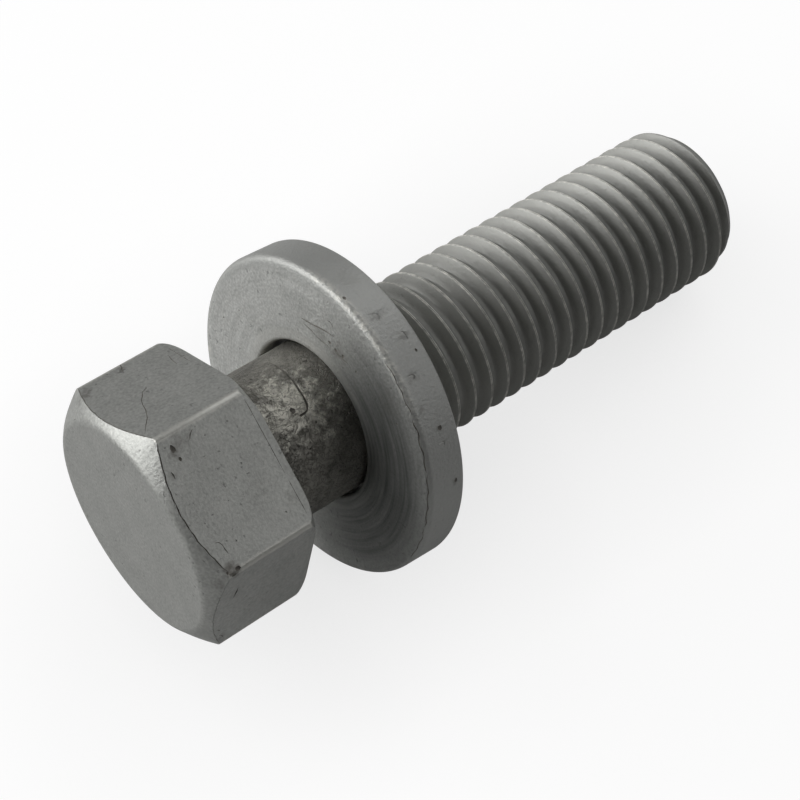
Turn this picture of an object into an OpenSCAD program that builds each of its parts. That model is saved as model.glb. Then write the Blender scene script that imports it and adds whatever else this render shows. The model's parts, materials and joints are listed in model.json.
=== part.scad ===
// Hex bolt with a captive washer, lying as it comes to rest: on the washer's rim and the end of
// its thread, with the head in the air. The floor is z = 0 and the bolt's axis dips along +X.

/* [Head] */
// Width across the flats
head_af = 13.9; // [12:0.1:17]
// Height of the head, from its outer face to the bearing face
head_h = 7; // [5:0.1:10]
// Slope of the chamfer round the outer face, in degrees
head_chamfer_angle = 38; // [20:1:45]
// How far the flat outer face stops inside the flats
head_face_inset = 0.45; // [0.1:0.05:1.2]
// Radius on the corners at the bearing face, where the forging die was filled last
head_corner_r = 0.9; // [0.3:0.1:1.5]

/* [Thread] */
// Nominal diameter of the thread
thread_d = 10; // [8:0.5:11]
// Pitch of the thread
pitch = 1.25; // [1:0.05:1.5]
// How much the crests are smaller than the nominal diameter
crest_allowance = 0.2; // [0:0.02:0.4]
// Length under the head, to the end of the thread
bolt_length = 35; // [25:1:60]
// Plain shank under the head, to where the thread starts
shank_length = 8.45; // [6:0.05:12]
// Length over which the first turn grows out of the shank
thread_runout = 1.6; // [0.8:0.1:3]
// Length of the chamfer at the end of the thread
end_chamfer = 0.9; // [0.6:0.1:2]
// Where round the bolt the thread starts, in degrees from +Y
thread_turn = 180; // [0:5:355]
// Radius of the fillet between the head and the shank
neck_fillet = 0.4; // [0.2:0.05:0.6]

/* [Washer] */
// Outer diameter of the washer
washer_d = 19.7; // [18:0.1:24]
// Thickness of the washer
washer_t = 2.6; // [1.5:0.1:3.5]
// How much wider the bore is than the shank
bore_play = 0.48; // [0.24:0.02:0.56]
// Radius on the outer edge that faces the head
washer_rim_r = 0.4; // [0.2:0.05:0.6]
// Radius on the bore's edge that faces the head
washer_bore_edge_r = 0.22; // [0.1:0.02:0.3]
// Radius on both edges that face the thread, where the blank was sheared
washer_sheared_r = 0.12; // [0.05:0.01:0.2]
// How far the washer leans, as a share of what the play in its bore allows
washer_lean_share = 0.63; // [0:0.05:1]

/* [Hidden] */
$fn = 96;

// Running clearance between the washer and the bolt
clearance = 0.03;
// Standing gap between the washer and the head at the end of its travel
head_gap = 0.1;
// How far the shank reaches into the head, to be one piece with it
shank_root = 1;
// How far inside the shank's edge the first turn starts, so that the two meet on one flat ring
start_inset = 0.02;
// Straight steps in each rounded edge of an outline
arc_steps = 6;

// Height of the sharp triangle that a metric thread is cut from. The shank is turned down to the
// thread's pitch diameter, three quarters of it below the nominal one, and the root lies at 17/12.
sharp_h = pitch * cos(30);
shank_d = thread_d - 3 / 4 * sharp_h;
crest_r = (thread_d - crest_allowance) / 2;
root_r = (thread_d - 17 / 12 * sharp_h) / 2;
start_r = shank_d / 2 - start_inset;
total_length = head_h + bolt_length;
thread_from = head_h + shank_length;

// The head: its outer face is at x = 0 and the bolt's axis is x. One corner points up.
flat_r = head_af / 2;
corner_r = flat_r / cos(30);
face_r = flat_r - head_face_inset;
chamfer_depth = (corner_r - face_r) * tan(head_chamfer_angle);

// One pitch of the thread's outline, from the start of a crest: where each edge lies, as a
// share of the pitch, and its height, from 0 at the root to 1 at the crest.
edge_at = [0, 0.14, 0.44, 0.70];
edge_height = [1, 1, 0, 0];
edges = len(edge_at);
columns = 36;

// The washer leans by a share of what its bore allows on the shank, with its top to the thread.
bore_r = (shank_d + bore_play) / 2;
bore_land = washer_t - washer_bore_edge_r - washer_sheared_r;
lean = washer_lean_share * atan((bore_play - 2 * clearance) / bore_land);
// The thread stops it: the top of the bore's rear edge is the first to reach the first turn.
rear_edge_r = bore_r + washer_sheared_r;
washer_z = bore_r * cos(lean) - (washer_t / 2 - washer_bore_edge_r) * sin(lean)
    - shank_d / 2 - clearance;
washer_x = thread_from - clearance - rear_edge_r * sin(lean) - washer_t / 2 * cos(lean);
// Its slide towards the head ends where its front face meets the head's lowest corner.
front_x = washer_x - washer_t / 2 * cos(lean);
washer_travel = front_x - (corner_r + washer_z) * tan(lean) - head_h - head_gap;

// The resting line touches the washer's lower rear edge and the last full crest below.
rest_washer = [washer_x + washer_t / 2 * cos(lean) - washer_d / 2 * sin(lean),
    washer_z - washer_t / 2 * sin(lean) - washer_d / 2 * cos(lean)];
rest_crest = [total_length - end_chamfer, -crest_r];
dip = atan2(rest_crest.y - rest_washer.y, rest_crest.x - rest_washer.x);
rest_height = rest_crest.x * sin(dip) - rest_crest.y * cos(dip);
middle_x = (total_length * cos(dip) + (root_r - face_r) * sin(dip)) / 2;

// A quarter circle of points round [x, y], from one angle to another.
function arc(x, y, r, from, to) =
    [for (i = [0:arc_steps]) let (a = mix(from, to, i / arc_steps)) [x + r * cos(a), y + r * sin(a)]];

function mix(a, b, t) = a + (b - a) * min(max(t, 0), 1);

// Where edge j of the thread's outline lies on column i. It climbs one pitch in a full turn.
function edge_x(i, j) =
    thread_from + pitch * (floor(j / edges) - 1 + edge_at[j % edges] + i / columns);

// The radius there: it grows out of the shank, and the chamfer trims it at the end.
function edge_r(x, j) =
    min(mix(start_r, mix(root_r, crest_r, edge_height[j % edges]), (x - thread_from) / thread_runout),
        mix(root_r, crest_r, (total_length - x) / end_chamfer));

// Lays a piece that was built along x down on the floor.
module at_rest() {
    translate([-middle_x, 0, rest_height]) rotate([0, dip, 0]) children();
}

// Turns an outline of [x, radius] points about the x axis.
module turned(outline) {
    rotate([0, 90, 0]) rotate_extrude() polygon([for (p = outline) [p.y, p.x]]);
}

// A hexagonal prism trimmed by a turned outline: the chamfer, and the rounded bearing corners.
module head() {
    intersection() {
        rotate([0, 90, 0]) cylinder(r = corner_r, h = head_h, $fn = 6);
        turned(concat(
            [[0, 0], [0, face_r], [chamfer_depth, corner_r]],
            arc(head_h - head_corner_r, corner_r - head_corner_r, head_corner_r, 90, 0),
            [[head_h, 0]]));
    }
}

// The plain shank with its fillet under the head.
module shank() {
    turned(concat(
        [[head_h - shank_root, 0], [head_h - shank_root, shank_d / 2 + neck_fillet]],
        arc(head_h + neck_fillet, shank_d / 2 + neck_fillet, neck_fillet, 180, 270),
        [[thread_from, shank_d / 2], [thread_from, 0]]));
}

// The rolled thread, right-handed. Each column holds the outline's edges along one line of the
// cylinder, and the edges outside the thread's length fold onto its first or last one.
module thread() {
    rows = edges * (ceil((total_length - thread_from) / pitch) + 3);
    first = [for (i = [0:columns - 1]) max([for (j = [0:rows - 1]) if (edge_x(i, j) <= thread_from) j])];
    last = [for (i = [0:columns - 1]) min([for (j = [0:rows - 1]) if (edge_x(i, j) >= total_length) j])];
    points = [for (i = [0:columns - 1], j = [0:rows - 1])
        let (x = min(max(edge_x(i, j), thread_from), total_length), r = edge_r(x, j),
             a = thread_turn + 360 * i / columns)
        [x, r * cos(a), r * sin(a)]];
    function at(i, j) = i == columns ? at(0, j + edges) : i * rows + min(max(j, first[i]), last[i]);
    skin = [for (i = [0:columns - 1], j = [0:rows - edges - 2]) each [
        [at(i, j), at(i, j + 1), at(i + 1, j + 1)],
        [at(i, j), at(i + 1, j + 1), at(i + 1, j)]]];
    whole = [for (f = skin) if (f[0] != f[1] && f[1] != f[2] && f[2] != f[0]) f];
    start = [for (i = [0:columns - 1]) at(i, 0)];
    end = [for (i = [columns - 1:-1:0]) at(i, rows - 1)];
    polyhedron(points, concat([start], whole, [end]));
}

// The bolt is one cold-headed piece: hex head, shank and rolled thread.
module bolt() {
    color([0.50, 0.51, 0.48]) at_rest() union() {
        head();
        shank();
        thread();
    }
}

// The captive washer: a blanked ring, rounded on the edges that face the head.
module washer() {
    rim = washer_d / 2;
    back = washer_t / 2;
    color([0.55, 0.56, 0.53]) at_rest() translate([washer_x, 0, washer_z]) rotate([0, lean, 0])
        turned(concat(
            arc(washer_bore_edge_r - back, bore_r + washer_bore_edge_r, washer_bore_edge_r, 270, 180),
            arc(washer_rim_r - back, rim - washer_rim_r, washer_rim_r, 180, 90),
            arc(back - washer_sheared_r, rim - washer_sheared_r, washer_sheared_r, 90, 0),
            arc(back - washer_sheared_r, bore_r + washer_sheared_r, washer_sheared_r, 0, -90)));
}

bolt();
washer();
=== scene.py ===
import json
import math

import bmesh
import bpy
import numpy as np
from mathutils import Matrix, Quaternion, Vector


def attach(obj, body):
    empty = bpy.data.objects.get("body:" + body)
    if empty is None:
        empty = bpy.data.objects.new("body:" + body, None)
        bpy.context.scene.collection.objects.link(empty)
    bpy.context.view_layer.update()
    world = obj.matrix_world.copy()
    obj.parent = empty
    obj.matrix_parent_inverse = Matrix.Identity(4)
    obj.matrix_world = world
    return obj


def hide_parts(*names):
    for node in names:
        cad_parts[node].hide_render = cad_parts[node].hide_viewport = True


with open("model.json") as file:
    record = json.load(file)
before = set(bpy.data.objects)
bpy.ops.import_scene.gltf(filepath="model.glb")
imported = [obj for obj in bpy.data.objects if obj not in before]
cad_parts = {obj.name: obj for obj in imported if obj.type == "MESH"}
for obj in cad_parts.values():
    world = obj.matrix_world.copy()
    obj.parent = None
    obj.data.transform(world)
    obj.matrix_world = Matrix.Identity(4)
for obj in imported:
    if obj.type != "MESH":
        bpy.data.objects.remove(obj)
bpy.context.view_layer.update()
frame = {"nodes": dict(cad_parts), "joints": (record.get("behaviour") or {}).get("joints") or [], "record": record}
bpy.ops.object.select_all(action="DESELECT")

# Camera.
# It looks steeply down on the bolt from the head's side, so that the outer face of the head,
# the washer's front and the thread all show.
mm = 0.001
camera_place = Vector((-36.09, -41.72, 112.00)) * mm
camera_elevation = math.radians(63.35)
camera_azimuth = math.radians(39.40)
camera_roll = math.radians(0.76)
camera_lens = 90.3
sensor_width = 36

look = Vector((math.cos(camera_elevation) * math.sin(camera_azimuth),
               math.cos(camera_elevation) * math.cos(camera_azimuth),
               -math.sin(camera_elevation)))
camera_turn = look.to_track_quat("-Z", "Y") @ Quaternion((0, 0, 1), camera_roll)
bpy.ops.object.camera_add(location=camera_place, rotation=camera_turn.to_euler())
camera = bpy.context.object
camera.data.lens = camera_lens
camera.data.sensor_width = sensor_width
camera.data.clip_start = 0.01
bpy.context.scene.camera = camera
bpy.context.scene.view_settings.view_transform = "Standard"

# Floor and daylight.
# A wide pale board under a faint grey sky. Camera rays see a quarter of the board's own light and
# shade, and the rest as a white glow, dimmed close to the bolt, where less of the sky is open.
floor_size = 3.0
floor_colour = (0.66, 0.66, 0.66, 1)
sky_light = 0.03
white_glow = 1.19
seen_share = 0.75
shade_reach = 14 * mm
shade_share = 0.25
mirrored_share = 0.02


def add_node(tree, kind, inputs=None, **settings):
    """Adds a shader node. inputs gives each socket, by name or number, a value or a wire."""
    made = tree.nodes.new("ShaderNode" + kind)
    for name, value in settings.items():
        setattr(made, name, value)
    for name, value in (inputs or {}).items():
        if isinstance(value, bpy.types.NodeSocket):
            tree.links.new(value, made.inputs[name])
        else:
            made.inputs[name].default_value = value
    return made


def math_node(tree, operation, *values, clamp=False):
    """A sum, product or other step on numbers, as one wire."""
    sockets = dict(enumerate(values))
    return add_node(tree, "Math", sockets, operation=operation, use_clamp=clamp).outputs[0]


bpy.ops.mesh.primitive_plane_add(size=floor_size)
floor = bpy.context.object
floor.name = "floor"
floor_board = bpy.data.materials.new("floor_board")
floor_board.use_nodes = True
tree = floor_board.node_tree
tree.nodes.clear()
rays = add_node(tree, "LightPath").outputs
glow_share = math_node(tree, "MULTIPLY", rays["Is Camera Ray"], seen_share)
glow_share = math_node(tree, "MULTIPLY_ADD", rays["Is Glossy Ray"], mirrored_share, glow_share)
glow_share = math_node(tree, "MULTIPLY_ADD", rays["Is Transmission Ray"], mirrored_share, glow_share)
board = add_node(tree, "BsdfDiffuse", {"Color": floor_colour})
open_sky = add_node(tree, "AmbientOcclusion", {"Distance": shade_reach}, samples=8).outputs["AO"]
open_sky = math_node(tree, "MULTIPLY_ADD", open_sky,
                     shade_share * white_glow, (1 - shade_share) * white_glow)
glow = add_node(tree, "Emission", {"Strength": open_sky})
mixed = add_node(tree, "MixShader", {0: glow_share, 1: board.outputs[0], 2: glow.outputs[0]})
add_node(tree, "OutputMaterial", {"Surface": mixed.outputs[0]})
floor.data.materials.append(floor_board)

sky = bpy.data.worlds.new("sky")
sky.use_nodes = True
tree = sky.node_tree
tree.nodes.clear()
rays = add_node(tree, "LightPath").outputs
lit = add_node(tree, "Background", {"Color": (1, 1, 1, 1), "Strength": sky_light})
seen = add_node(tree, "Background", {"Color": (1, 1, 1, 1), "Strength": 1.0})
mixed = add_node(tree, "MixShader", {0: rays["Is Camera Ray"], 1: lit.outputs[0], 2: seen.outputs[0]})
add_node(tree, "OutputWorld", {"Surface": mixed.outputs[0]})
bpy.context.scene.world = sky

# Lamps.
# Four broad soft lamps: two low on the left and behind the head, which light the faces that look
# that way and the floor before them, one beyond the thread, and a weak one in front.
lamps = (
    # name, direction from the bolt, distance, side of its square, power in watts
    ("left_lamp", Vector((-0.74, 0.53, 0.35)), 0.36, 0.30, 0.75),
    ("back_lamp", Vector((-0.45, 0.75, 0.48)), 0.40, 0.30, 0.60),
    ("right_lamp", Vector((0.72, 0.35, 0.60)), 0.45, 0.30, 0.45),
    ("front_lamp", Vector((0.56, -0.54, 0.62)), 0.45, 0.30, 0.28),
)
for name, direction, distance, side, power in lamps:
    direction.normalize()
    aim = (-direction).to_track_quat("-Z", "Y")
    bpy.ops.object.light_add(type="AREA", location=direction * distance, rotation=aim.to_euler())
    lamp = bpy.context.object
    lamp.name = name
    lamp.data.size = side
    lamp.data.energy = power

# Bolt head.
# Cold-forged hexagon: a six-sided prism, trimmed on a lathe-like die to a chamfered outer face and
# rounded corners at the bearing face. It is shaped standing on its outer face, one corner to -X.
record_mounts = {mount["name"]: mount for mount in frame["record"]["mounts"]}
bolt_axis = Vector(frame["joints"][0]["axis"]).normalized()
bolt_tip = Vector(record_mounts["thread"]["pos_m"])
flats = [Vector(record_mounts[name]["pos_m"]) for name in ("wrench_flat_left", "wrench_flat_right")]
head_height = 7.0 * mm
flat_radius = (flats[0] - flats[1]).length / 2
corner_radius = flat_radius / math.cos(math.radians(30))
head_face = (flats[0] + flats[1]) / 2 - bolt_axis * head_height / 2
bolt_length = (bolt_tip - head_face).dot(bolt_axis)

face_inset = 0.45 * mm
face_edge_round = 0.7 * mm
chamfer_angle = math.radians(38)
bearing_round = 0.9 * mm
edge_round = 0.18 * mm
strip_height = 0.45 * mm
strip_taper = 0.988
crisp_edge = 0.05 * mm
# Points closer than weld_gap are one point, and a cut plane takes in points closer than cut_gap.
weld_gap = 1e-7
cut_gap = 1e-8


def arc(middle, radius, start, end, steps):
    """Points of a circular arc round middle, from one angle to another, in degrees."""
    angles = [math.radians(start + (end - start) * step / steps) for step in range(steps + 1)]
    return [(middle[0] + radius * math.cos(a), middle[1] + radius * math.sin(a)) for a in angles]


def draw_line(name, points):
    """Extrudes one vertex through the points, and stays in edit mode."""
    bpy.ops.mesh.primitive_plane_add(size=mm)
    piece = bpy.context.object
    piece.name = name
    bpy.ops.object.mode_set(mode="EDIT")
    bpy.ops.mesh.merge(type="CENTER")
    bpy.ops.transform.translate(value=points[0])
    for before, after in zip(points, points[1:]):
        bpy.ops.mesh.extrude_region_move(TRANSFORM_OT_translate={"value": Vector(after) - Vector(before)})
    return piece


def turn_outline(name, outline, steps, closed=False):
    """A closed solid of revolution round Z, from (radius, height) points."""
    points = [(radius, 0, height) for radius, height in outline]
    piece = draw_line(name, points + points[:1] if closed else points)
    bpy.ops.mesh.select_all(action="SELECT")
    bpy.ops.mesh.spin(steps=steps, angle=math.tau, center=(0, 0, 0), axis=(0, 0, 1))
    bpy.ops.mesh.select_all(action="SELECT")
    bpy.ops.mesh.remove_doubles(threshold=weld_gap)
    bpy.ops.mesh.normals_make_consistent(inside=False)
    bpy.ops.object.mode_set(mode="OBJECT")
    return piece


def choose(piece, kind, test):
    """Selects, in edit mode, the verts, edges or faces of piece that pass the test."""
    bpy.ops.mesh.select_mode(type={"verts": "VERT", "edges": "EDGE", "faces": "FACE"}[kind])
    bpy.ops.mesh.select_all(action="DESELECT")
    mesh = bmesh.from_edit_mesh(piece.data)
    for element in getattr(mesh, kind):
        if test(element):
            element.select_set(True)
    mesh.select_flush_mode()
    bmesh.update_edit_mesh(piece.data)


def apply_modifier(piece, kind, **settings):
    """Adds a modifier with these settings and applies it."""
    bpy.context.view_layer.objects.active = piece
    modifier = piece.modifiers.new(kind.lower(), kind)
    for name, value in settings.items():
        setattr(modifier, name, value)
    bpy.ops.object.modifier_apply(modifier=modifier.name)


def combine(piece, other, operation):
    """Joins, trims or cuts piece with the other solid, which is used up."""
    apply_modifier(piece, "BOOLEAN", operation=operation, solver="MANIFOLD", object=other)
    bpy.data.objects.remove(other)


bpy.ops.mesh.primitive_cylinder_add(vertices=6, radius=corner_radius, depth=head_height,
                                    location=(0, 0, head_height / 2), rotation=(0, 0, math.radians(30)))
bolt = bpy.context.object
bolt.name = "hex_bolt"
bpy.ops.object.transform_apply(location=True, rotation=True)
bpy.ops.object.mode_set(mode="EDIT")
choose(bolt, "edges", lambda edge: abs(edge.verts[0].co.z - edge.verts[1].co.z) > head_height / 2)
bpy.ops.mesh.bevel(offset=edge_round, segments=5)
bpy.ops.mesh.select_all(action="SELECT")
bpy.ops.mesh.bisect(plane_co=(0, 0, head_height - strip_height), plane_no=(0, 0, 1), threshold=cut_gap)
choose(bolt, "verts", lambda vert: vert.co.z > head_height - strip_height / 2)
bpy.ops.transform.resize(value=(strip_taper, strip_taper, 1))
bpy.ops.object.mode_set(mode="OBJECT")

face_radius = flat_radius - face_inset
chamfer_depth = (corner_radius - face_radius) * math.tan(chamfer_angle)
# The flat outer face runs into the chamfer over a soft edge.
soft_edge = face_edge_round * math.tan(chamfer_angle / 2)
chamfer_end = -90 + math.degrees(chamfer_angle)
head_outline = (
    [(0, 0)]
    + arc((face_radius - soft_edge, face_edge_round), face_edge_round, -90, chamfer_end, 6)
    + [(corner_radius, chamfer_depth)]
    + arc((corner_radius - bearing_round, head_height - bearing_round), bearing_round, 0, 90, 8)
    + [(0, head_height)]
)
head_die = turn_outline("head_die", head_outline, 180)
combine(bolt, head_die, "INTERSECT")
apply_modifier(bolt, "BEVEL", limit_method="ANGLE", angle_limit=math.radians(28),
               width=crisp_edge, segments=2)


def new_steel(name, metallic=0.6):
    """A material of metal flakes in a dull binder, its tree and its shader."""
    material = bpy.data.materials.new(name)
    material.use_nodes = True
    shader = material.node_tree.nodes["Principled BSDF"]
    shader.inputs["Metallic"].default_value = metallic
    return material, material.node_tree, shader


bolt_coat, bolt_tree, bolt_shader = new_steel("bolt_coat")
dark_pit, pit_tree, pit_shader = new_steel("dark_pit")
bolt.data.materials.clear()
bolt.data.materials.append(bolt_coat)
bolt.data.materials.append(dark_pit)


def cut_away(piece, cutter, dirty=True):
    """Cuts a small closed shape out of piece. Dirty cut faces take the piece's second material."""
    cutter.data.materials.clear()
    for material in piece.data.materials:
        cutter.data.materials.append(material)
    for face in cutter.data.polygons:
        face.material_index = int(dirty)
    combine(piece, cutter, "DIFFERENCE")


def cut_groove(piece, points, radius, dirty=True):
    """Cuts a round groove along the points, uneven in width and fading out at both ends."""
    cutter = draw_line("groove", points)
    bpy.ops.object.mode_set(mode="OBJECT")
    bpy.ops.object.convert(target="CURVE")
    cutter = bpy.context.object
    cutter.data.bevel_depth = radius
    cutter.data.bevel_resolution = 1
    cutter.data.use_fill_caps = True
    for step, point in enumerate(cutter.data.splines[0].points):
        point.radius = 0.85 + (0.25 if dirty else 0.05) * math.sin(step * 2.4)
    for end in (0, -1):
        cutter.data.splines[0].points[end].radius = 0.3
    bpy.ops.object.convert(target="MESH")
    cutter = bpy.context.object
    bpy.ops.object.mode_set(mode="EDIT")
    bpy.ops.mesh.select_all(action="SELECT")
    bpy.ops.mesh.remove_doubles(threshold=weld_gap)
    bpy.ops.mesh.normals_make_consistent(inside=False)
    bpy.ops.object.mode_set(mode="OBJECT")
    cut_away(piece, cutter, dirty)


def cut_pit(piece, place, size, turn=0.0, seed=0, dirty=True):
    """Cuts a ragged pit. size is half its length along X, Y and Z before it is turned about Z."""
    bpy.ops.mesh.primitive_ico_sphere_add(subdivisions=2, radius=1)
    cutter = bpy.context.object
    bpy.ops.object.mode_set(mode="EDIT")
    bpy.ops.mesh.select_all(action="SELECT")
    bpy.ops.transform.vertex_random(offset=0.3, uniform=0.0, normal=0.0, seed=seed)
    bpy.ops.mesh.subdivide(number_cuts=2, smoothness=1.0)
    bpy.ops.object.mode_set(mode="OBJECT")
    cutter.location = place
    cutter.rotation_euler = (0, 0, turn)
    cutter.scale = size
    bpy.ops.object.transform_apply(location=True, rotation=True, scale=True)
    cut_away(piece, cutter, dirty)


def on_flat(turn, along, across, lift=0.0):
    """A place on the flat that faces turn degrees, with along and across in millimetres."""
    facing = math.radians(turn)
    out = flat_radius + lift * mm
    return Vector((out * math.cos(facing) - across * mm * math.sin(facing),
                   out * math.sin(facing) + across * mm * math.cos(facing), along * mm))


# A forging crack and nicks: the flat, the groove's radius in millimetres, and its way (along, across).
head_grooves = (
    (150, 0.034, ((3.58, -0.70), (3.53, -0.58), (3.18, -0.43), (2.98, -0.10), (2.72, 0.21), (2.52, 0.66),
                  (2.37, 1.18), (2.18, 1.58), (2.01, 1.91), (1.70, 2.30), (1.47, 2.58), (1.11, 3.08))),
    (150, 0.050, ((3.95, -4.00), (3.80, -3.52), (3.63, -3.15))),
    (150, 0.045, ((2.89, -3.74), (3.04, -3.36))),
    (150, 0.045, ((4.97, -3.82), (4.74, -3.78))),
    (150, 0.028, ((6.11, -2.42), (5.98, -1.80), (5.90, -1.15))),
    (210, 0.035, ((3.19, -3.54), (2.95, -3.36), (2.78, -3.12))),
    (210, 0.050, ((1.05, -2.19), (1.09, -1.98), (1.07, -1.79))),
    (210, 0.030, ((1.32, 2.10), (1.50, 2.22), (1.58, 2.40), (1.60, 2.72), (1.65, 2.97))),
    (270, 0.060, ((1.84, -2.06), (1.72, -1.60), (1.60, -1.14))),
    (270, 0.035, ((1.00, 2.60), (1.25, 2.95), (1.32, 3.25))),
    (270, 0.030, ((0.75, 1.70), (0.92, 1.90), (1.02, 2.08))),
    (330, 0.045, ((2.60, 1.10), (2.95, 1.75), (3.05, 2.30))),
    (30, 0.040, ((4.40, -1.90), (4.10, -1.20), (4.05, -0.60))),
    (90, 0.045, ((3.10, 0.40), (3.60, 0.75))),
)
# Pits: the flat, place (along, across), half length along, half length across, depth.
head_pits = (
    (210, (1.74, -3.14), 0.14, 0.20, 0.07), (210, (1.83, -2.51), 0.09, 0.11, 0.05),
    (210, (3.88, -1.81), 0.07, 0.07, 0.04), (210, (4.64, -0.72), 0.06, 0.07, 0.04),
    (210, (5.52, 2.69), 0.07, 0.06, 0.04), (210, (2.34, 2.58), 0.06, 0.06, 0.04),
    (210, (3.02, 0.62), 0.04, 0.05, 0.02), (210, (1.72, 3.86), 0.16, 0.13, 0.09),
    (210, (1.05, 3.86), 0.12, 0.16, 0.09), (270, (1.40, -3.88), 0.14, 0.10, 0.07),
    (270, (2.60, 1.30), 0.06, 0.06, 0.03), (330, (4.10, -2.20), 0.10, 0.07, 0.04),
    (30, (2.20, 2.40), 0.08, 0.12, 0.05), (90, (5.10, -1.70), 0.07, 0.09, 0.04),
    (150, (4.60, 1.90), 0.04, 0.05, 0.02), (150, (5.30, 0.40), 0.05, 0.04, 0.02),
)
for turn, radius, way in head_grooves:
    cut_groove(bolt, [on_flat(turn, *spot) for spot in way], radius * mm)
for seed, (turn, spot, half_along, half_across, depth) in enumerate(head_pits):
    cut_pit(bolt, on_flat(turn, *spot), (depth * mm, half_across * mm, half_along * mm),
            math.radians(turn), seed, dirty=half_across > 0.08)

# The chamfering die left a burr along the top of each flat: a thin dark line under a crisp arc.
burr_radii = {150: 0.028, 210: 0.045, 270: 0.020, 330: 0.030, 30: 0.025, 90: 0.030}
half_side = flat_radius * math.tan(math.radians(30)) / mm
for turn, radius in burr_radii.items():
    arc_way = []
    for step in range(25):
        across = (step / 12 - 1) * (half_side - 0.25)
        edge = (math.hypot(flat_radius / mm, across) - face_radius / mm) * math.tan(chamfer_angle)
        wander = 0.022 * math.sin(step * 2.3 + turn) + 0.012 * math.sin(step * 5.1)
        arc_way.append(on_flat(turn, edge + 0.05 + wander, across))
    cut_groove(bolt, arc_way, radius * mm)
# A line left by the forging die along the front of the rear strip, worn off in places: the flat,
# and where on it each part of the line starts and ends.
die_lines = ((210, -3.5, 0.9), (210, 1.3, 3.4), (150, -3.0, -0.6), (330, -2.0, 3.0), (90, -3.2, 1.0))
for turn, start, end in die_lines:
    line = [on_flat(turn, (head_height - strip_height) / mm - 0.03, start + (end - start) * step / 8)
            for step in range(9)]
    cut_groove(bolt, line, 0.022 * mm)

# Shank and thread.
# The shank is turned to the thread's pitch diameter, and the thread is rolled onto it. Its crests
# are where the rolled-up metal met from both sides, with a fine seam between two lips.
pitch = 1.25 * mm
shank_radius = 4.594 * mm
crest_radius = record_mounts["thread"]["dims"]["r_mm"] * mm
root_radius = 4.233 * mm
thread_start = bolt_length - record_mounts["thread"]["dims"]["length_mm"] * mm
run_out = 1.6 * mm
end_chamfer = 0.9 * mm
neck_fillet = 0.4 * mm
root_in_head = 1.0 * mm
columns = 128
# Where round the bolt the thread starts, from its left side.
thread_turn = math.radians(180)
# One pitch of the thread: how far along each point is, as a share of the pitch, and its height,
# from 0 at the root to 1 at the crest.
thread_outline = (
    (0.000, 0.95), (0.022, 0.995), (0.050, 1.00), (0.070, 0.93), (0.090, 1.00), (0.118, 0.995),
    (0.140, 0.95), (0.20, 0.77), (0.32, 0.37), (0.41, 0.09), (0.47, 0.01), (0.57, 0.00),
    (0.67, 0.01), (0.73, 0.09), (0.82, 0.37), (0.94, 0.77),
)


def thread_radius(height, along):
    """The radius at a height over the root, where the thread starts, runs on and is chamfered."""
    full = root_radius + (crest_radius - root_radius) * height
    grown = np.clip((along - thread_start) / run_out, 0, 1)
    trimmed = np.clip((bolt_length - along) / end_chamfer, 0, 1)
    fillet = np.clip((head_height + neck_fillet - along) / neck_fillet, 0, 1)
    radius = shank_radius + (full - shank_radius) * grown
    radius = np.minimum(radius, root_radius + (crest_radius - root_radius) * trimmed)
    return radius + neck_fillet * (1 - np.sqrt(1 - fillet ** 2))


turns_before = math.ceil((thread_start - head_height + root_in_head) / pitch) + 1
first_turn = thread_start - turns_before * pitch
turns = math.ceil((bolt_length - first_turn) / pitch)
thread_points = [(crest_radius, 0, first_turn + share * pitch) for share, height in thread_outline]
thread_points.append((crest_radius, 0, first_turn + pitch))
stem = draw_line("stem", thread_points)
bpy.ops.object.mode_set(mode="OBJECT")
apply_modifier(stem, "SCREW", axis="Z", angle=math.tau, screw_offset=pitch, iterations=turns,
               steps=columns, render_steps=columns, use_merge_vertices=True, merge_threshold=weld_gap)
places = np.zeros(len(stem.data.vertices) * 3)
stem.data.vertices.foreach_get("co", places)
places = places.reshape(-1, 3)
angle = np.arctan2(places[:, 1], places[:, 0])
along = places[:, 2] - first_turn
shares = np.array([share for share, height in thread_outline] + [1.0])
heights = np.array([height for share, height in thread_outline] + [thread_outline[0][1]])
in_pitch = (along / pitch - angle / math.tau) % 1.0
height = np.interp(in_pitch, shares, heights)
radius = thread_radius(height, places[:, 2])
# The bolt's left side is a quarter turn on from X.
turned = angle + math.pi / 2 + thread_turn
places = np.stack([radius * np.cos(turned), radius * np.sin(turned), places[:, 2]], 1)
stem.data.vertices.foreach_set("co", places.ravel())
bpy.ops.object.mode_set(mode="EDIT")
bpy.ops.mesh.select_all(action="SELECT")
bpy.ops.mesh.remove_doubles(threshold=weld_gap)
bpy.ops.mesh.select_all(action="SELECT")
bpy.ops.mesh.bisect(plane_co=(0, 0, head_height - root_in_head), plane_no=(0, 0, 1),
                    use_fill=True, clear_inner=True, threshold=cut_gap)
bpy.ops.mesh.select_all(action="SELECT")
bpy.ops.mesh.bisect(plane_co=(0, 0, bolt_length), plane_no=(0, 0, 1),
                    use_fill=True, clear_outer=True, threshold=cut_gap)
bpy.ops.mesh.select_all(action="SELECT")
bpy.ops.mesh.normals_make_consistent(inside=False)
bpy.ops.object.mode_set(mode="OBJECT")


def on_shank_skin(along, turn, lift=0.0):
    """A place on the shank, with along and lift in millimetres and turn in degrees."""
    facing = math.radians(turn)
    spot = Vector((shank_radius * math.cos(facing), shank_radius * math.sin(facing), along * mm))
    return spot + Vector((spot.x, spot.y, 0)).normalized() * lift * mm


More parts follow.
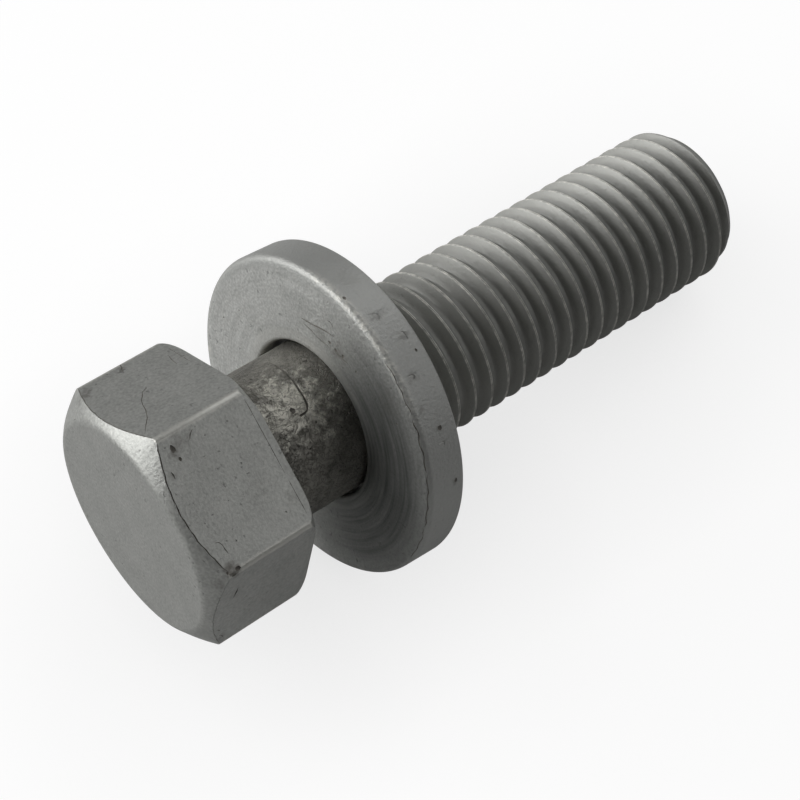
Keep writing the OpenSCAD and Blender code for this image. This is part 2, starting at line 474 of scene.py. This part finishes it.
# A fold in the shank's skin, shaped like a hairpin, with a pit in its bend: (along, turn). A wide
# shallow groove goes first, and a fine dirty one runs in its bottom.
shank_fold = ((10.93, 145.4), (10.98, 154.0), (10.98, 164.1), (10.92, 173.0), (10.82, 180.9),
              (10.76, 187.0), (10.67, 193.0), (10.45, 196.6), (10.23, 197.5), (9.98, 197.6), (9.85, 196.3))
for material in (bolt_coat, dark_pit):
    stem.data.materials.append(material)
cut_groove(stem, [on_shank_skin(*spot, 0.09) for spot in shank_fold], 0.17 * mm, dirty=False)
cut_groove(stem, [on_shank_skin(*spot, -0.05) for spot in shank_fold], 0.050 * mm)
fold_pit_turn = 191.6
cut_pit(stem, on_shank_skin(9.74, fold_pit_turn), (0.06 * mm, 0.15 * mm, 0.12 * mm),
        math.radians(fold_pit_turn), 5)
combine(bolt, stem, "UNION")


def lay_down(piece, standing_on, axis):
    """Turns a piece that was shaped upright so that its Z lies along axis, and applies it."""
    tilt = math.atan2(axis.x, axis.z)
    piece.location = standing_on
    piece.rotation_euler = (0, tilt, 0)
    bpy.ops.object.select_all(action="DESELECT")
    piece.select_set(True)
    bpy.context.view_layer.objects.active = piece
    bpy.ops.object.transform_apply(location=True, rotation=True)


def smooth_over(piece, angle):
    """Shades a piece smooth, apart from edges sharper than the angle, with flat faces kept flat."""
    bpy.ops.object.select_all(action="DESELECT")
    piece.select_set(True)
    bpy.context.view_layer.objects.active = piece
    bpy.ops.object.shade_smooth_by_angle(angle=angle)
    apply_modifier(piece, "WEIGHTED_NORMAL", keep_sharp=True)


# Rolling and turning left the shank rough and the thread a little uneven: the skin is pressed in
# by a cloudy pattern, most of all on the shank.
shank_roughness = 0.055 * mm
thread_roughness = 0.25
smooth_angle = math.radians(32)
rough_skin = bolt.vertex_groups.new(name="rough_skin")
for vertex in bolt.data.vertices:
    spot = vertex.co
    if spot.z > head_height + neck_fillet:
        thread_share = min(max((spot.z - thread_start) / run_out, 0), 1)
        neck_share = min((spot.z - head_height - neck_fillet) / neck_fillet, 1)
        end_share = 1 if spot.z < bolt_length - mm / 100 else 0
        weight = neck_share * end_share * (1 + (thread_roughness - 1) * thread_share)
        rough_skin.add([vertex.index], weight, "REPLACE")
rolled_skin = bpy.data.textures.new("rolled_skin", "CLOUDS")
rolled_skin.noise_scale = 0.75 * mm
rolled_skin.noise_depth = 3
apply_modifier(bolt, "DISPLACE", texture=rolled_skin, vertex_group=rough_skin.name,
               mid_level=1.0, strength=shank_roughness)
bolt.vertex_groups.clear()

smooth_over(bolt, smooth_angle)
lay_down(bolt, head_face, bolt_axis)


# Finish of the bolt.
# A dull zinc-flake coat: mottled grey, with painted shade in the thread's roots, rubbed bright on corners,
# and rubbed bright on crests with a painted highlight. The shank is barer and browner, with a rubbed patch on top.
def blend_colour(tree, share, first, second, way="MIX"):
    """Mixes or multiplies two colours, as one wire."""
    sockets = {0: share, 6: first, 7: second}
    return add_node(tree, "Mix", sockets, data_type="RGBA", blend_type=way).outputs[2]


def ramp(tree, value, start, end, low=0.0, high=1.0):
    """Goes smoothly from low, where value is start, to high, where it is end."""
    sockets = {0: value, 1: start, 2: end, 3: low, 4: high}
    return add_node(tree, "MapRange", sockets, interpolation_type="SMOOTHSTEP").outputs[0]


def new_group(name, inputs, outputs):
    """A shader node group with these sockets. Returns its tree and the wires that enter it."""
    group = bpy.data.node_groups.new(name, "ShaderNodeTree")
    for socket, kind in inputs:
        group.interface.new_socket(socket, in_out="INPUT", socket_type="NodeSocket" + kind)
    for socket, kind in outputs:
        group.interface.new_socket(socket, in_out="OUTPUT", socket_type="NodeSocket" + kind)
    return group, group.nodes.new("NodeGroupInput").outputs


def close_group(group, wires):
    """Connects wires, by the names of the group's outputs."""
    ends = group.nodes.new("NodeGroupOutput")
    for name, wire in wires.items():
        group.links.new(wire, ends.inputs[name])


def use_group(tree, group, inputs):
    """Adds a node group. inputs gives each socket, by name, a value or a wire."""
    made = tree.nodes.new("ShaderNodeGroup")
    made.node_tree = group
    for name, value in inputs.items():
        if isinstance(value, bpy.types.NodeSocket):
            tree.links.new(value, made.inputs[name])
        else:
            made.inputs[name].default_value = value
    return made.outputs


def noise(tree, position, scale, detail=3.0, distortion=0.0):
    """Cloudy noise from 0 to 1. scale is in patches for each unit of position."""
    sockets = {"Vector": position, "Scale": scale, "Detail": detail, "Distortion": distortion}
    return add_node(tree, "TexNoise", sockets).outputs["Fac"]


def wrinkles(tree, position, scale, width):
    """Wandering lines, 0 in a line and 1 beside it, where a cloudy noise passes its middle."""
    cloudy = noise(tree, position, scale, 4.0, 0.8)
    away = math_node(tree, "ABSOLUTE", math_node(tree, "SUBTRACT", cloudy, 0.5))
    return ramp(tree, away, 0.0, width)


# Mottled coat: broad cloudy patches, fine grain and sparse dark specks, all in millimetres.
coat_group, wires = new_group(
    "mottled_coat",
    [("Position", "Vector"), ("Tone", "Color"), ("Mottle", "Float"), ("Specks", "Float")],
    [("Color", "Color"), ("Roughness", "Float"), ("Height", "Float")])
broad = noise(coat_group, wires["Position"], 0.55, 5.0)
grain = noise(coat_group, wires["Position"], 6.0, 4.0)
speck = ramp(coat_group, noise(coat_group, wires["Position"], 2.6, 2.0), 0.66, 0.74)
speck = math_node(coat_group, "MULTIPLY", speck, wires["Specks"])
cloud = math_node(coat_group, "MULTIPLY", math_node(coat_group, "SUBTRACT", broad, 0.5), wires["Mottle"])
cloud = math_node(coat_group, "ADD", cloud, math_node(coat_group, "MULTIPLY_ADD", grain, 0.9, 0.55))
cloud = math_node(coat_group, "MULTIPLY", cloud, math_node(coat_group, "SUBTRACT", 1.0, speck))
shade = add_node(coat_group, "CombineColor", {0: cloud, 1: cloud, 2: cloud}).outputs[0]
close_group(coat_group, {
    "Color": blend_colour(coat_group, 1.0, wires["Tone"], shade, "MULTIPLY"),
    "Roughness": math_node(coat_group, "MULTIPLY_ADD", grain, 0.16, 0.36),
    "Height": math_node(coat_group, "SUBTRACT", math_node(coat_group, "MULTIPLY_ADD", broad, 0.03,
                                                          math_node(coat_group, "MULTIPLY", grain, 0.020)),
                        math_node(coat_group, "MULTIPLY", speck, 0.02)),
})

# Stain: a ragged round patch, 1 at its centre.
stain_group, wires = new_group(
    "stain", [("Position", "Vector"), ("Centre", "Vector"), ("Size", "Float")], [("Mask", "Float")])
ragged = add_node(stain_group, "TexNoise", {"Vector": wires["Position"], "Scale": 2.2, "Detail": 4.0})
pushed = add_node(stain_group, "VectorMath", {0: ragged.outputs["Color"], 1: (0.5, 0.5, 0.5)},
                  operation="SUBTRACT")
reach_of_push = math_node(stain_group, "MULTIPLY", wires["Size"], 2.2)
pushed = add_node(stain_group, "VectorMath", {0: pushed.outputs[0], "Scale": reach_of_push},
                  operation="SCALE")
pushed = add_node(stain_group, "VectorMath", {0: pushed.outputs[0], 1: wires["Position"]},
                  operation="ADD")
away = add_node(stain_group, "VectorMath", {0: pushed.outputs[0], 1: wires["Centre"]},
                operation="DISTANCE")
away = math_node(stain_group, "DIVIDE", away.outputs["Value"], wires["Size"])
close_group(stain_group, {"Mask": ramp(stain_group, away, 1.0, 0.1)})


def bench_position(tree, standing_on, axis):
    """The place on a piece as it stood on the bench, in millimetres, with Z along its axis."""
    place = add_node(tree, "TexCoord").outputs["Object"]
    tilt = math.atan2(axis.x, axis.z)
    sockets = {"Vector": place, "Location": standing_on, "Rotation": (0, tilt, 0), "Scale": (mm, mm, mm)}
    return add_node(tree, "Mapping", sockets, vector_type="TEXTURE").outputs[0]


def round_position(tree, position):
    """Height along Z, and distance from it."""
    parts = add_node(tree, "SeparateXYZ", {0: position}).outputs
    flat = add_node(tree, "CombineXYZ", {0: parts[0], 1: parts[1]}).outputs[0]
    return parts[2], add_node(tree, "VectorMath", {0: flat}, operation="LENGTH").outputs["Value"]


def relief(tree, shader, height):
    """Gives the shader a relief, with height in millimetres."""
    bump = add_node(tree, "Bump", {"Height": height, "Distance": mm, "Strength": 1.0})
    tree.links.new(bump.outputs[0], shader.inputs["Normal"])


coat_tone = (0.400, 0.405, 0.385, 1)
shank_tone = (0.270, 0.262, 0.235, 1)
rubbed_tone = (0.640, 0.635, 0.590, 1)
root_shade_tone = (0.240, 0.242, 0.230, 1)
near_thread_tone = (0.362, 0.362, 0.342, 1)
far_thread_tone = (0.430, 0.430, 0.407, 1)
crest_wear_and_highlight_tone = (0.740, 0.730, 0.680, 1)
crackle_tone = (0.060, 0.055, 0.045, 1)
smudge_tone = (0.070, 0.065, 0.055, 1)
stain_tone = (0.090, 0.080, 0.068, 1)
pit_tones = ((0.085, 0.080, 0.070, 1), (0.270, 0.255, 0.225, 1))
# Old dirt: its place, its size in millimetres and how dark it is.
stains = (
    (on_flat(150, 1.00, -3.05), 0.75, 0.50), (on_flat(150, 3.75, -3.45), 0.45, 0.35),
    (on_flat(210, 1.75, -2.95), 0.55, 0.50), (on_flat(210, 2.90, -3.35), 0.40, 0.25),
    (on_flat(210, 1.10, -2.00), 0.35, 0.30), (on_flat(210, 1.35, 3.80), 0.60, 0.70),
    (on_flat(270, 1.45, -3.80), 0.55, 0.50), (on_flat(270, 1.75, -1.60), 0.60, 0.30),
    (on_flat(210, 4.90, 0.90), 1.10, 0.10), (on_flat(330, 2.80, 1.70), 0.80, 0.30),
    (on_flat(90, 3.30, 0.60), 0.60, 0.30), (on_flat(30, 4.20, -1.30), 0.70, 0.30),
    (on_flat(270, 0.75, -3.10, -0.3), 0.50, 0.40), (on_flat(270, 1.20, 3.00), 0.60, 0.35),
    (on_flat(210, 2.20, -3.30), 0.60, 0.30), (on_flat(210, 6.20, 2.20), 0.60, 0.25),
)
shank_patch = (-4.5, -0.7, 9.9)
shank_patch_size = 3.0
patch_tone = (0.800, 0.780, 0.700, 1)
shank_smudges = (((-4.0, -2.26, 9.9), 0.75), ((-3.4, -3.1, 9.95), 0.55), ((-4.4, 1.2, 8.2), 0.8))

tree, shader = bolt_tree, bolt_shader
place = bench_position(tree, head_face, bolt_axis)
along, away = round_position(tree, place)
on_shank = math_node(tree, "MULTIPLY", ramp(tree, along, head_height / mm, head_height / mm + 0.3),
                     ramp(tree, along, thread_start / mm + 1.0, thread_start / mm))
on_thread = ramp(tree, along, thread_start / mm, thread_start / mm + 1.0)
wavy = noise(tree, place, 3.0, 3.0)
coat = use_group(tree, coat_group, {"Position": place, "Tone": coat_tone, "Mottle": 0.35, "Specks": 0.35})
scale_skin = use_group(tree, coat_group,
                       {"Position": place, "Tone": shank_tone, "Mottle": 1.6, "Specks": 0.6})
fine_wrinkles = wrinkles(tree, place, 2.6, 0.035)
wide_wrinkles = wrinkles(tree, place, 1.1, 0.03)
crackle = math_node(tree, "MULTIPLY", fine_wrinkles, math_node(tree, "MULTIPLY_ADD", wide_wrinkles, 0.6, 0.4))
patch = use_group(tree, stain_group,
                  {"Position": place, "Centre": shank_patch, "Size": shank_patch_size})["Mask"]
patch = math_node(tree, "MULTIPLY", patch, math_node(tree, "MULTIPLY_ADD", wavy, 1.0, 0.55), clamp=True)
bare = blend_colour(tree, patch, scale_skin["Color"], patch_tone)
bare = blend_colour(tree, math_node(tree, "MULTIPLY_ADD", crackle, -0.5, 0.5), bare, crackle_tone)
for centre, size in shank_smudges:
    smudge = use_group(tree, stain_group, {"Position": place, "Centre": centre, "Size": size})["Mask"]
    bare = blend_colour(tree, math_node(tree, "MULTIPLY", smudge, 0.5), bare, smudge_tone)
# Painted shade: the thread's roots are darkened, more so towards the far end.
root_shade = ramp(tree, away, (root_radius + 0.48 * mm) / mm, (root_radius + 0.04 * mm) / mm)
# The crests' lips are rubbed bright, and painted brighter still as a highlight.
on_crest = ramp(tree, math_node(tree, "MULTIPLY_ADD", wavy, 0.10, away),
                (crest_radius + 0.01 * mm) / mm, (crest_radius + 0.06 * mm) / mm)
on_corner = ramp(tree, math_node(tree, "MULTIPLY_ADD", wavy, 0.09, away),
                 (corner_radius - 0.12 * mm) / mm, (corner_radius - 0.02 * mm) / mm)
colour = blend_colour(tree, math_node(tree, "MULTIPLY", on_corner, 0.7), coat["Color"], rubbed_tone)
for centre, size, darkness in stains:
    stain = use_group(tree, stain_group, {"Position": place, "Centre": centre / mm, "Size": size})["Mask"]
    colour = blend_colour(tree, math_node(tree, "MULTIPLY", stain, darkness), colour, stain_tone)
colour = blend_colour(tree, on_shank, colour, bare)
far_end = ramp(tree, along, thread_start / mm + 4.0, thread_start / mm + 15.0)
thread_tone = blend_colour(tree, far_end, near_thread_tone, far_thread_tone)
colour = blend_colour(tree, math_node(tree, "MULTIPLY", on_thread, 0.8), colour, thread_tone)
root_shade = math_node(tree, "MULTIPLY", root_shade, math_node(tree, "MULTIPLY_ADD", far_end, 0.45, 0.20))
colour = blend_colour(tree, math_node(tree, "MULTIPLY", on_thread, root_shade), colour, root_shade_tone)
colour = blend_colour(tree, math_node(tree, "MULTIPLY", on_thread, on_crest), colour, crest_wear_and_highlight_tone)
tree.links.new(colour, shader.inputs["Base Color"])
duller = math_node(tree, "MULTIPLY_ADD", on_thread, 0.14, math_node(tree, "MULTIPLY", on_shank, 0.05))
tree.links.new(math_node(tree, "ADD", coat["Roughness"], duller), shader.inputs["Roughness"])
rough_height = math_node(tree, "MULTIPLY", on_shank, math_node(tree, "MULTIPLY_ADD", crackle, 0.035,
                                                               scale_skin["Height"]))
relief(tree, shader, math_node(tree, "ADD", coat["Height"], rough_height))

# The pits and cracks hold old dirt.
dirt = noise(pit_tree, bench_position(pit_tree, head_face, bolt_axis), 5.0, 4.0)
dirt_colour = blend_colour(pit_tree, dirt, *pit_tones)
pit_tree.links.new(dirt_colour, pit_shader.inputs["Base Color"])
pit_shader.inputs["Metallic"].default_value = 0.0
pit_shader.inputs["Roughness"].default_value = 0.75

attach(bolt, "bolt")
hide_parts("bolt")

# Washer.
# A thick ring blanked from plate: rounded where it was pushed through the die, on the side that
# faces the head, and sharper on the other. It hangs askew on the shank.
washer_mesh = frame["nodes"]["washer"].data
front = Vector()
for face in washer_mesh.polygons:
    if face.normal.dot(bolt_axis) < -0.9:
        front += face.normal * face.area
washer_axis = -front.normalized()
washer_up = washer_axis.cross(Vector((0, 1, 0)))
spots = [vertex.co for vertex in washer_mesh.vertices]


def reach(direction):
    """Half the washer's size along a direction, and the middle of it."""
    ends = [spot.dot(direction) for spot in spots]
    return (max(ends) - min(ends)) / 2, (max(ends) + min(ends)) / 2


half_thick, washer_along = reach(washer_axis)
rim_radius, washer_high = reach(washer_up)
washer_middle = washer_axis * washer_along + washer_up * washer_high
bore_radius = min((spot - washer_middle).cross(washer_axis).length for spot in spots)
rim_round = 0.4 * mm
bore_round = 0.22 * mm
sheared_round = 0.12 * mm
face_sag = 0.03 * mm
rim_sag = 0.10 * mm

washer_outline = (
    arc((bore_radius + bore_round, bore_round - half_thick), bore_round, 180, 270, 5)
    + [(bore_radius + 0.5 * mm, -half_thick),
       (bore_radius + 1.1 * mm, face_sag - half_thick),
       (rim_radius - 1.5 * mm, face_sag - half_thick),
       (rim_radius - 0.8 * mm, face_sag + 0.03 * mm - half_thick)]
    + arc((rim_radius - rim_round, rim_round + rim_sag - half_thick), rim_round, -80, 0, 7)
    + arc((rim_radius - sheared_round, half_thick - sheared_round), sheared_round, 0, 90, 4)
    + arc((bore_radius + sheared_round, half_thick - sheared_round), sheared_round, 90, 180, 4)
)
washer = turn_outline("captive_washer", washer_outline, 240, closed=True)
washer_coat, washer_tree, washer_shader = new_steel("washer_coat")
washer.data.materials.append(washer_coat)
washer.data.materials.append(dark_pit)


def on_washer(turn, radius, height):
    """A place on the washer as it lies on the bench, in degrees and millimetres."""
    return Vector((radius * math.cos(math.radians(turn)), radius * math.sin(math.radians(turn)), height)) * mm


front_height = (face_sag - half_thick) / mm
rim = rim_radius / mm
# The lap line lies this far up the rim's rounded edge.
seam_angle = math.radians(52)
seam_radius = (rim_radius - rim_round + rim_round * math.cos(seam_angle)) / mm
seam_height = (rim_round + rim_sag - half_thick - rim_round * math.sin(seam_angle)) / mm
# Grooves, as the groove's radius and its way: a torn wedge on the front (turn, radius), and then the
# lap line where the rounded edge was rolled over (turn, radius, height), broken into four.
front_grooves = (
    (0.050, [(155.4, 6.73), (160.0, 6.74), (164.5, 6.80), (168.7, 6.95), (173.5, 7.12), (178.4, 7.30)]),
    (0.040, [(156.5, 6.48), (161.5, 6.36), (166.5, 6.23), (171.0, 6.20), (178.0, 6.30)]),
    (0.035, [(180.0, 6.38), (186.0, 6.52), (192.6, 6.74)]),
    (0.035, [(172.6, 7.91), (174.2, 7.98), (175.9, 7.90), (175.9, 7.75)]),
)
lap_lines = ((200, 219, 0.030), (220.5, 239, 0.045), (240, 262, 0.040), (263, 281, 0.028))
washer_grooves = [(radius, [(turn, away, front_height) for turn, away in way])
                  for radius, way in front_grooves]
for first, last, radius in lap_lines:
    way = []
    for step in range(11):
        turn = first + (last - first) * step / 10
        wander = 0.03 * math.sin(turn * 0.9) + 0.018 * math.sin(turn * 2.7)
        way.append((turn, seam_radius + wander, seam_height + wander))
    washer_grooves.append((radius, way))
for radius, way in washer_grooves:
    cut_groove(washer, [on_washer(*spot) for spot in way], radius * mm)
# Shallow curved dents in the rim, pressed by other bolts in a bin: turn, height, length in degrees
# and half its width in millimetres.
washer_dents = ((186.4, -0.17, 2.6, 0.20), (208.4, -0.31, 1.6, 0.22),
                (232.0, 0.05, 1.2, 0.25), (196.0, 0.62, 3.0, 0.10))
for turn, height, length, half_width in washer_dents:
    way = [on_washer(turn + length / 2 * math.cos(step * math.tau / 9), rim + 0.065,
                     height + half_width * math.sin(step * math.tau / 9)) for step in range(7)]
    cut_groove(washer, way, 0.12 * mm, dirty=False)
# Pits: (turn, radius, height), and half its size outwards, round and along the washer's axis.
washer_pits = (
    ((221.7, 8.35, front_height), (0.07, 0.07, 0.05)), ((91.0, 8.24, front_height), (0.05, 0.06, 0.03)),
    ((104.6, 7.49, front_height), (0.05, 0.05, 0.03)),
    ((181.5, 6.55, front_height), (0.10, 0.12, 0.05)), ((186.5, 6.72, front_height), (0.12, 0.10, 0.05)),
    ((176.8, 6.62, front_height), (0.09, 0.13, 0.04)), ((196.0, 6.90, front_height), (0.07, 0.09, 0.03)),
    ((226.7, rim, 0.22), (0.07, 0.15, 0.13)), ((201.6, rim, 0.77), (0.05, 0.10, 0.08)),
    ((247.1, rim, 0.74), (0.06, 0.12, 0.09)), ((175.8, rim, -0.89), (0.05, 0.12, 0.09)),
    ((40.0, rim, 0.20), (0.06, 0.12, 0.10)), ((310.0, rim, -0.40), (0.06, 0.14, 0.08)),
    ((120.0, rim, 0.50), (0.05, 0.09, 0.11)),
)
for seed, (spot, size) in enumerate(washer_pits):
    cut_pit(washer, on_washer(*spot), Vector(size) * mm, math.radians(spot[0]), seed + 40)
smooth_over(washer, smooth_angle)
lay_down(washer, washer_middle, washer_axis)

washer_tone = (0.500, 0.505, 0.485, 1)
rim_tone = (0.415, 0.420, 0.405, 1)
lower_right_shade_tone = (0.100, 0.105, 0.100, 1)
washer_stain_and_shade_tone = (0.120, 0.110, 0.090, 1)
# Old dirt, and painted shade in the wide patch at 214 degrees on the front: place (turn, radius, height), size and
# how dark it is.
washer_stains_and_shade = (
    ((183.0, 6.70, front_height), 0.90, 0.35), ((170.0, 6.60, front_height), 0.70, 0.25),
    ((226.7, rim, 0.22), 0.40, 0.35), ((208.4, rim, -0.31), 0.50, 0.30), ((186.4, rim, -0.17), 0.60, 0.25),
    ((196.0, rim, 0.62), 0.50, 0.25), ((218.5, rim, -0.55), 0.35, 0.35), ((170.0, rim, 0.10), 0.90, 0.12),
    ((247.1, rim, 0.74), 0.35, 0.40), ((214.0, 8.30, front_height), 1.30, 0.18),
    ((60.0, 7.50, front_height), 1.20, 0.12),
)
tree, shader = washer_tree, washer_shader
place = bench_position(tree, washer_middle, washer_axis)
along, away = round_position(tree, place)
wavy = noise(tree, place, 2.0, 3.0)
coat = use_group(tree, coat_group, {"Position": place, "Tone": washer_tone, "Mottle": 0.3, "Specks": 0.35})
# Streaks that run round the washer, left by the die.
parts = add_node(tree, "SeparateXYZ", {0: place}).outputs
flat = add_node(tree, "CombineXYZ", {0: parts[0], 1: parts[1]}).outputs[0]
round_way = add_node(tree, "VectorMath", {0: flat}, operation="NORMALIZE").outputs[0]
lift = add_node(tree, "CombineXYZ", {2: math_node(tree, "MULTIPLY", away, 2.6)}).outputs[0]
streak_place = add_node(tree, "VectorMath", {0: round_way, 1: lift}, operation="ADD").outputs[0]
streak = noise(tree, streak_place, 1.6, 4.0)
streaks = math_node(tree, "MULTIPLY_ADD", streak, 0.5, 0.75)
streaks = add_node(tree, "CombineColor", {0: streaks, 1: streaks, 2: streaks}).outputs[0]
colour = blend_colour(tree, 1.0, coat["Color"], streaks, "MULTIPLY")
on_front = ramp(tree, along, (0.3 * mm - half_thick) / mm, (0.15 * mm - half_thick) / mm)
at_hole = math_node(tree, "MULTIPLY", on_front,
                    ramp(tree, away, bore_radius / mm + 1.0, bore_radius / mm + 0.6))
colour = blend_colour(tree, math_node(tree, "MULTIPLY", at_hole, 0.25), colour, rubbed_tone)


def towards(turn):
    """How far a place lies towards one side of the washer, from -1 to 1, as one wire."""
    side = (math.cos(math.radians(turn)), math.sin(math.radians(turn)), 0)
    return add_node(tree, "VectorMath", {0: round_way, 1: side}, operation="DOT_PRODUCT").outputs["Value"]


# Painted shade darkens the front's lower right side, in the shelter of the head, broken up by the streaks.
lower_right_shade = math_node(tree, "MULTIPLY", ramp(tree, towards(258), -0.15, 0.78),
                 ramp(tree, along, (0.60 * mm - half_thick) / mm, (0.30 * mm - half_thick) / mm))
lower_right_shade = math_node(tree, "MULTIPLY", lower_right_shade, ramp(tree, away, rim - 0.5, rim - 1.7, 0.62, 1.0))
lower_right_shade = math_node(tree, "MULTIPLY", lower_right_shade, math_node(tree, "MULTIPLY_ADD", streak, 1.0, 0.26), clamp=True)
colour = blend_colour(tree, lower_right_shade, colour, lower_right_shade_tone)
on_rim = math_node(tree, "MULTIPLY", ramp(tree, away, rim - 0.25, rim - 0.05), 0.75)
colour = blend_colour(tree, on_rim, colour, rim_tone)
at_edge = math_node(tree, "MULTIPLY", ramp(tree, math_node(tree, "MULTIPLY_ADD", wavy, 0.3, away),
                                           rim - 0.20, rim + 0.12),
                    ramp(tree, along, (0.75 * mm - half_thick) / mm, (0.25 * mm - half_thick) / mm))
# The rounded edge is rubbed bright towards 190 degrees, and painted brighter there as a highlight.
worn_and_highlight = math_node(tree, "MULTIPLY", ramp(tree, towards(190), 0.80, 0.97, 0.10, 1.0), at_edge)
worn_and_highlight = math_node(tree, "MULTIPLY", worn_and_highlight, ramp(tree, noise(tree, place, 4.0, 3.0), 0.38, 0.60, 0.15, 0.95))
# Painted shade dims the rounded front edge on the side towards 140 degrees, in rim colour.
painted_edge_shade = math_node(tree, "MULTIPLY", ramp(tree, towards(140), 0.60, 0.92, 0.0, 0.80),
                 ramp(tree, away, rim - 0.85, rim - 0.45))
colour = blend_colour(tree, painted_edge_shade, colour, rim_tone)
colour = blend_colour(tree, worn_and_highlight, colour, rubbed_tone)
chip = {"Position": place, "Centre": on_washer(67.8, 9.60, front_height + 0.15) / mm, "Size": 0.55}
chip = math_node(tree, "MULTIPLY", use_group(tree, stain_group, chip)["Mask"], 0.8)
colour = blend_colour(tree, chip, colour, rubbed_tone)
for spot, size, darkness in washer_stains_and_shade:
    centre = on_washer(*spot) / mm
    stain = use_group(tree, stain_group, {"Position": place, "Centre": centre, "Size": size})["Mask"]
    colour = blend_colour(tree, math_node(tree, "MULTIPLY", stain, darkness), colour, washer_stain_and_shade_tone)
tree.links.new(colour, shader.inputs["Base Color"])
tree.links.new(math_node(tree, "ADD", coat["Roughness"], 0.09), shader.inputs["Roughness"])
# The skin is torn between the wedge's two lines, and grainy where the edge was pushed round.
torn = {"Position": place, "Centre": on_washer(173.0, 6.60, front_height) / mm, "Size": 1.35}
torn = math_node(tree, "MULTIPLY", use_group(tree, stain_group, torn)["Mask"], 0.055)
grainy = math_node(tree, "MULTIPLY_ADD", ramp(tree, away, rim - 0.9, rim - 0.4), 0.045, torn)
relief(tree, shader, math_node(tree, "MULTIPLY_ADD", noise(tree, place, 4.5, 4.0), grainy, coat["Height"]))
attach(washer, "washer")
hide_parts("washer")
